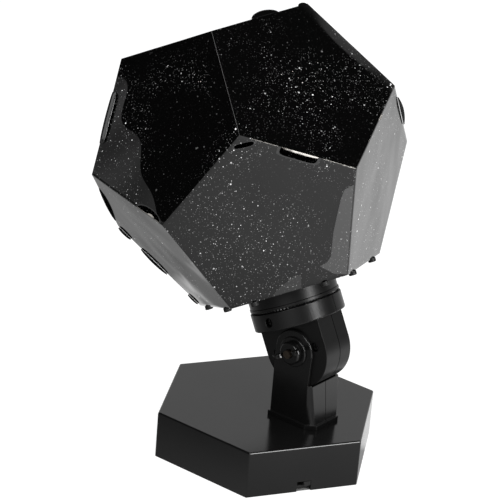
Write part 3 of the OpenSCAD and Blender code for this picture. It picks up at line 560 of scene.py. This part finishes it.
dent_way = (left_lock.along * -0.545 - left_lock.inwards * 0.838).normalized()
dent_course = (left_lock.along * -0.838 + left_lock.inwards * 0.545).normalized()
upper_film = star_film("star_film_upper", [
    left_lock.oval(left_lock.at(56, 0), 2, 0.0105, 0.0036, 0.003)], [
    (left_lock.at(67, 0), dent_way, 0.1, 1, dent_course),
    (right_top.at(69.8, 9), -right_top.inwards, 13, 2, -right_top.along)], IOR=1.5)

cut_edge = Finish("film_cut_edge", IOR=1.5)
nick = cut_edge.grain(700, 2)
cut_edge.paint(Base_Color=cut_edge.mix(nick, (0.10, 0.095, 0.09, 1), (0.45, 0.43, 0.40, 1)),
               Roughness=0.2 + nick * 0.2)


def film_piece(name, sheet, node, printed, depth=thick, rim=True):
    """Gives a sheet the film's thickness and its finish. Its cut rim is pale, or else has the
    sheet's own finish."""
    piece = as_piece(name, sheet, printed, cut_edge)
    wall = piece.modifiers.new("thickness", "SOLIDIFY")
    wall.thickness, wall.offset, wall.material_offset_rim = depth, -1, int(rim)
    shade_evenly(piece)
    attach(piece, body_of(frame["nodes"][node])[0])
    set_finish(piece, "star_film")
    return piece


def film_sheet(name, outlines, node, printed, soft_fold=None):
    """One half of the film: faces joined at rounded folds and slightly warped."""
    crisp_round, soft_round, small_face, long_edge = 0.0002, 0.0014, 1e-3, 0.02
    sheet = bmesh.new()
    made = {}
    for outline in outlines:
        for key in outline:
            if key not in made:
                made[key] = sheet.verts.new(corner(*key))
        sheet.faces.new([made[key] for key in outline])
    bmesh.ops.recalc_face_normals(sheet, faces=sheet.faces)
    for face in sheet.faces:
        if face.normal.dot(face.calc_center_median() - middle) < 0:
            face.normal_flip()
    folds = [e for e in sheet.edges if len(e.link_faces) == 2]
    rounding = dict(profile=0.5, affect="EDGES", material=-1)
    if soft_fold:
        soft = sheet.edges.get([made[key] for key in soft_fold])
        folds.remove(soft)
        bmesh.ops.bevel(sheet, geom=[soft], offset=soft_round, segments=5, **rounding)
        folds = [e for e in folds if e.is_valid]
    bmesh.ops.bevel(sheet, geom=folds, offset=crisp_round, segments=2, **rounding)
    bmesh.ops.poke(sheet, faces=[f for f in sheet.faces if f.calc_area() > small_face])
    long_edges = [e for e in sheet.edges if e.calc_length() > long_edge]
    bmesh.ops.subdivide_edges(sheet, edges=long_edges, cuts=23, use_grid_fill=True)
    for v in sheet.verts:
        away = v.co - middle
        flat = 1 - abs(away.length - to_face) / (belt_r - to_face)
        swell = 0.0006 * noise.noise(v.co * 26) + 0.00015 * noise.noise(v.co * 80)
        v.co += away.normalized() * swell * max(0.1, flat)
    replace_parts(film_piece(name, sheet, node, printed), node)


film_sheet("film_lower_sheet", [
    [("low", i), ("low", (i + 1) % 5), ("under", (i + 1) % 5), ("over", i), ("under", i)]
    for i in range(5)], "film_lower", lower_film, soft_fold=(("under", 3), ("low", 3)))
film_sheet("film_upper_sheet", [[("top", i) for i in range(5)]] + [
    [("top", i), ("over", i), ("under", (i + 1) % 5), ("over", (i + 1) % 5), ("top", (i + 1) % 5)]
    for i in range(5)], "film_upper", upper_film)


# ---------------------------------------------------------------- film flaps and tabs
# The lower half of the film is closed by a glued flap and a patch. The lock tabs roll and bulge out
# of their slots where the film is bent to push them in; their pale rolls are painted highlights.
# The folds beside them show wear, pale partly from the wear and partly from painted glints.
def face_out(sheet, outwards):
    """Turns a sheet so that its first face looks outwards."""
    first = sheet.faces[:][0]
    first.normal_update()
    if first.normal.dot(outwards) < 0:
        bmesh.ops.reverse_faces(sheet, faces=sheet.faces)


def flap(name, start, end, lead, curl, reach, turn, node, printed, full=0.5, rim=True):
    """A tab on the line from start to end: it leaves it along lead, turns towards curl, and is
    widest in its middle. A lower full makes its ends blunter. One without a pale rim is thicker."""
    end_wide, folded_thick = 0.02, 0.0007
    sheet = bmesh.new()
    bmesh.ops.create_grid(sheet, x_segments=24, y_segments=8, size=1)
    bend = math.radians(turn)
    for v in sheet.verts:
        s, q = (v.co.x + 1) / 2, (v.co.y + 1) / 2
        wide = max(end_wide, math.sin(math.pi * min(max(s, 0), 1))) ** full * reach
        r = wide / bend
        ahead, curled = r * math.sin(bend * q), r * (1 - math.cos(bend * q))
        v.co = start.lerp(end, s) + lead * ahead + curl * curled
    face_out(sheet, start - middle)
    film_piece(name, sheet, node, printed, thick if rim else folded_thick, rim)


def black_film(name, smooth, rough, patches=90, **constants):
    """Film without stars."""
    made = Finish(name, **constants)
    made.paint(Base_Color=made.mix(made.grain(60), grey(0.001), grey(0.003)),
               Roughness=made.grain(patches).eased(0.3, 0.7, smooth, rough))
    return made


plain_film = black_film("plain_black_film", 0.04, 0.12, patches=60, IOR=1.5)
matt_film = black_film("matt_black_film", 0.4, 0.6, Specular_IOR_Level=0.12)

# pale cracks along the folds: partly cracked ink from wear, partly painted glints
creased = Finish("creased_film", IOR=1.5)
crack = creased.grain(900, 3)
wear_and_painted_glints = creased.mix(crack.eased(0.35, 0.6), (0.05, 0.047, 0.043, 1), (0.34, 0.325, 0.30, 1))
creased.paint(Base_Color=wear_and_painted_glints, Roughness=0.15 + crack * 0.2)

# painted highlight: the rolled tabs' pale, warm base colour stands for the light they catch
rolled = Finish("rolled_film", IOR=1.5)
shine = rolled.grain(110, 2)
painted_roll_highlight = rolled.mix(shine.eased(0.4, 0.62), (0.10, 0.09, 0.08, 1), (0.74, 0.71, 0.66, 1))
rolled.paint(Base_Color=painted_roll_highlight, Roughness=0.2 + shine * 0.1)

# what lies along the upper edges of the front and the right face: the rolled tab in the front lock,
# pale with a painted highlight, and the lines and corners that show wear, pale with wear and
# painted glints;
# each from and to millimetres along its edge, then its reach, how far it curls and how full it is
front_edge = Seam(("over", 2), ("under", 3), ("top", 2))
right_edge = Seam(("under", 3), ("over", 3), ("top", 3))
for name, place, first, last, reach, turn, printed, full in (
        ("front_lock_tab", front_edge, 25.5, 47, 0.0013, 80, rolled, 0.2),
        ("worn_glinting_edge_near", front_edge, 7, 23, 0.0003, 30, creased, 0.1),
        ("worn_glinting_edge_far", front_edge, 49, 61, 0.0003, 30, creased, 0.1),
        ("worn_glinting_edge_corner", front_edge, 61, 69.6, 0.0007, 30, creased, 0.1),
        ("worn_glinting_tab", right_edge, 40, 46, 0.0016, 60, creased, 0.4),
        ("worn_glinting_corner", right_edge, 22, 24, 0.0008, 60, creased, 0.4)):
    flap(name, place.at(first, 0, 0.1), place.at(last, 0, 0.1), -place.inwards, -place.outwards,
         reach, turn, "film_upper", printed, full)

# tabs and flaps that bulge past the outline: their edge, from and to millimetres along it, how
# wide they are, how far they stand off the face and how full they are, and the sheet they are
# part of; those that catch the light are as glossy as the film
left_rear = Seam(("over", 1), ("under", 1), ("over", 0))
left_low = Seam(("under", 1), ("low", 1), ("under", 2))
left_edge = Seam(("top", 1), ("over", 1), ("top", 2))
top_rear = Seam(("top", 2), ("top", 3), ("over", 2))
right_rear = Seam(("over", 3), ("under", 4), ("under", 3))
for name, place, first, last, wide, off, full, printed, node in (
        ("left_rear_tab", left_rear, 18, 62, 0.0018, 0.25, 0.6, matt_film, "film_upper"),
        ("left_low_tab", left_low, 1, 11, 0.0016, 2, 0.4, matt_film, "film_lower"),
        ("left_bottom_tab", left_low, 20, 42, 0.0018, 2, 0.6, matt_film, "film_lower"),
        ("left_peg_tab", left_low, 60, 68, 0.0010, 2, 0.5, matt_film, "film_lower"),
        ("top_rear_flap", top_rear, 29, 48, 0.0044, 0.25, 0.5, plain_film, "film_upper"),
        ("top_corner_flap", top_rear, 63, 69, 0.0018, 0.25, 0.5, plain_film, "film_upper"),
        ("right_tab", right_rear, 14, 47, 0.0026, 2, 0.8, matt_film, "film_upper"),
        ("left_edge_tab", left_edge, 20, 51, 0.0014, 0.25, 0.5, plain_film, "film_upper")):
    flap(name, place.at(first, 0, 0.05), place.at(last, 0, 0.05),
         (-place.inwards + place.outwards * off).normalized(), -place.outwards, wide, 40, node,
         printed, full, rim=False)

# a long blister where the left edge's tab lies under the film, in millimetres: round across,
# blunt at its ends, and higher on the side away from the edge
blister = bmesh.new()
bmesh.ops.create_grid(blister, x_segments=40, y_segments=14, size=1)
for v in blister.verts:
    a, i = v.co.x, v.co.y
    end = max(0.01, 1 - abs(a) ** 8) ** 0.5
    crown = max(0.0, 1 - i ** 6) ** 0.5
    v.co = left_edge.at(35.5 + 15.5 * a, 2.6 + 1.9 * i * end,
                        0.04 + (0.4 + 0.4 * i + 0.5 * crown) * end)
face_out(blister, left_edge.outwards)
film_piece("left_blister", blister, "film_upper",
           black_film("blister_film", 0.06, 0.14, IOR=2.0))

# a sliver of the left lock's tab, pale with a painted highlight
flap("left_lock_sliver", left_lock.at(55, 0.3, -0.3), left_lock.at(61, 0.3, -0.3),
     left_lock.inwards, left_lock.outwards, 0.0009, 30, "film_lower", rolled, full=0.6)


def glued_piece(name, place, outline, printed):
    """A thin piece of film glued on the face beside a seam. Its outline, in millimetres along the
    seam and into the face, runs so that the piece looks outwards."""
    off, thin = 0.14, 0.00012
    sheet = bmesh.new()
    sheet.faces.new([sheet.verts.new(place.at(a, i, off)) for a, i in outline])
    film_piece(name, sheet, "film_lower", printed, thin)


glued_piece("lower_glue_flap", glue_seam, (
    (10.5, 0.7), (13.2, 5.5), (18.9, 7.3), (28, 8.6), (41, 10.2), (57, 10.6), (61, 12.6),
    (63.6, 16.5), (68.6, 8), (69.2, 0.7)), star_film("glued_flap", IOR=2.0, **glued_print))
glued_piece("lower_patch", Seam(("low", 3), ("low", 2), ("under", 2)), (
    (27.6, 0.4), (25.6, 8.9), (28.5, 9.6), (32.2, 8.4), (39.1, 5.1), (45.2, 0.4)),
    star_film("lower_patch", IOR=1.72, **glued_print))


# ---------------------------------------------------------------- stage
# A white table that runs into a white sweep behind it, soft lamps overhead and in front, and the
# camera at the photograph's place. What the object mirrors of the table is dimmer at its far
# side, at the back left and close to the base, and dark under it; the camera sees it all white.
base_side = 0.0605
paper = Finish("white_paper")
seen = paper.node("LightPath", {}, out="Is Camera Ray")
east, north = (paper.axis(axis) for axis in "XY")
near = paper.vector("LENGTH", paper.place, out="Value")
lit_side = paper.along((0.5, -0.87, 0.0))
beyond = paper.along((0.66, -0.75, 0.0))
# painted shadow on the table: darker at the back left, close to the base and towards the far side
far_left = east.eased(-0.13, -0.05, 1.0, 0.0) * north.eased(-0.08, 0.04)
# painted shadow: the table has no glow under the base
outside = abs(east).at_least(abs(east) * 0.5 + abs(north) * 0.866) > base_side
painted_table_shade = ((1 - far_left * 0.7) * near.eased(0.09, 0.26, 0.6, 1.0)
          * beyond.eased(0.33, 0.7, 1.0, 0.35))
# a painted pool of light on the table beside the base's foot
painted_light_beside_foot = (east.eased(0.03, 0.05) * north.eased(-0.065, -0.045)
               * near.eased(0.15, 0.19, 1.0, 0.0))
glow = (lit_side.eased(-0.22, 0.3, 0.22, 0.92) * painted_table_shade).at_least(painted_light_beside_foot)
paper.paint(
    Base_Color=paper.mix(seen, paper.mix(painted_table_shade, grey(0.02), grey(0.24)), grey(0.28)),
    Roughness=1.0, Specular_IOR_Level=0.0,
    Emission_Color=paper.mix(outside * (glow + seen * (0.9 - glow)), grey(0.0), grey(1.0)),
    Emission_Strength=1.0)
round_table = bmesh.new()
bmesh.ops.create_circle(round_table, cap_ends=True, segments=64, radius=8)
table = as_piece("table", round_table, paper, smooth=False)


def way_back(azimuth, elevation):
    """The way from the object to what looks at it from that side."""
    return Vector((math.sin(azimuth) * math.cos(elevation),
                   -math.cos(azimuth) * math.cos(elevation), math.sin(elevation)))


def lamp(name, size, power, azimuth, elevation, distance, tall=None):
    """A soft round or upright lamp looking at the object from the given side."""
    aim = Vector((0, 0, 0.12))
    light = bpy.data.lights.new(name, "AREA")
    light.shape, light.size, light.size_y, light.energy = "ELLIPSE", size, tall or size, power
    made = bpy.data.objects.new(name, light)
    back = way_back(math.radians(azimuth), math.radians(elevation))
    made.matrix_world = (Matrix.Translation(aim + back * distance)
                         @ (-back).to_track_quat("-Z", "Y").to_matrix().to_4x4())
    bpy.context.scene.collection.objects.link(made)


# size in metres, power in watts, azimuth and elevation in degrees, distance in metres
lamp("key_lamp", 0.28, 8.7, -6, 26, 1.2, tall=0.9)
lamp("left_lamp", 0.5, 4, -78, 27, 1.2)
lamp("top_lamp", 0.8, 9, -120, 78, 1.5)
lamp("side_lamp", 0.9, 1.0, 80, 42, 1.5)


class Backdrop(Finish):
    """The world around the table, worked like a finish. Its place is a direction."""

    def __init__(self, world):
        world.use_nodes = True
        self.tree = world.node_tree
        self.shader = self.tree.nodes["Background"]
        self.place = self.node("TexCoord", {}, out="Generated")


# the sweep rises behind the object, as the film mirrors it; the camera sees it white
world = bpy.data.worlds.new("sweep")
bpy.context.scene.world = world
sky = Backdrop(world)
behind = sky.along((0.797, 0.604, 0.0))
rise = behind.eased(0.1, 0.9, 0.16, 0.62)
white = behind.eased(0.0, 0.6, 0.24, 0.66)
sweep = (sky.axis("Z") - rise).eased(-0.012, 0.012, 1.0, 0.0) * white + 0.008
straight = sky.node("LightPath", {}, out="Is Camera Ray")
mirrored = straight.beside("Is Glossy Ray")
shown = straight + (1 - straight) * (mirrored * sweep + (1 - mirrored) * 0.3)
sky.paint(Color=sky.mix(shown, grey(0.0), grey(1.0)), Strength=1.0)

camera = bpy.data.objects.new("camera", bpy.data.cameras.new("camera"))
camera.data.sensor_width, camera.data.lens, camera.data.clip_end = 36, 158.63, 60
azimuth, elevation, roll = (math.radians(a) for a in (-52.83, 22.42, 4.77))
back = way_back(azimuth, elevation)
level_x = Vector((0, 0, 1)).cross(back).normalized()
level_y = back.cross(level_x)
right = math.cos(roll) * level_x + math.sin(roll) * level_y
over = -math.sin(roll) * level_x + math.cos(roll) * level_y
camera.matrix_world = (Matrix.Translation((-0.9751, -0.7161, 0.6271))
                       @ Matrix((right, over, back)).transposed().to_4x4())
bpy.context.scene.collection.objects.link(camera)
bpy.context.scene.camera = camera
bpy.context.scene.view_settings.view_transform = "Standard"
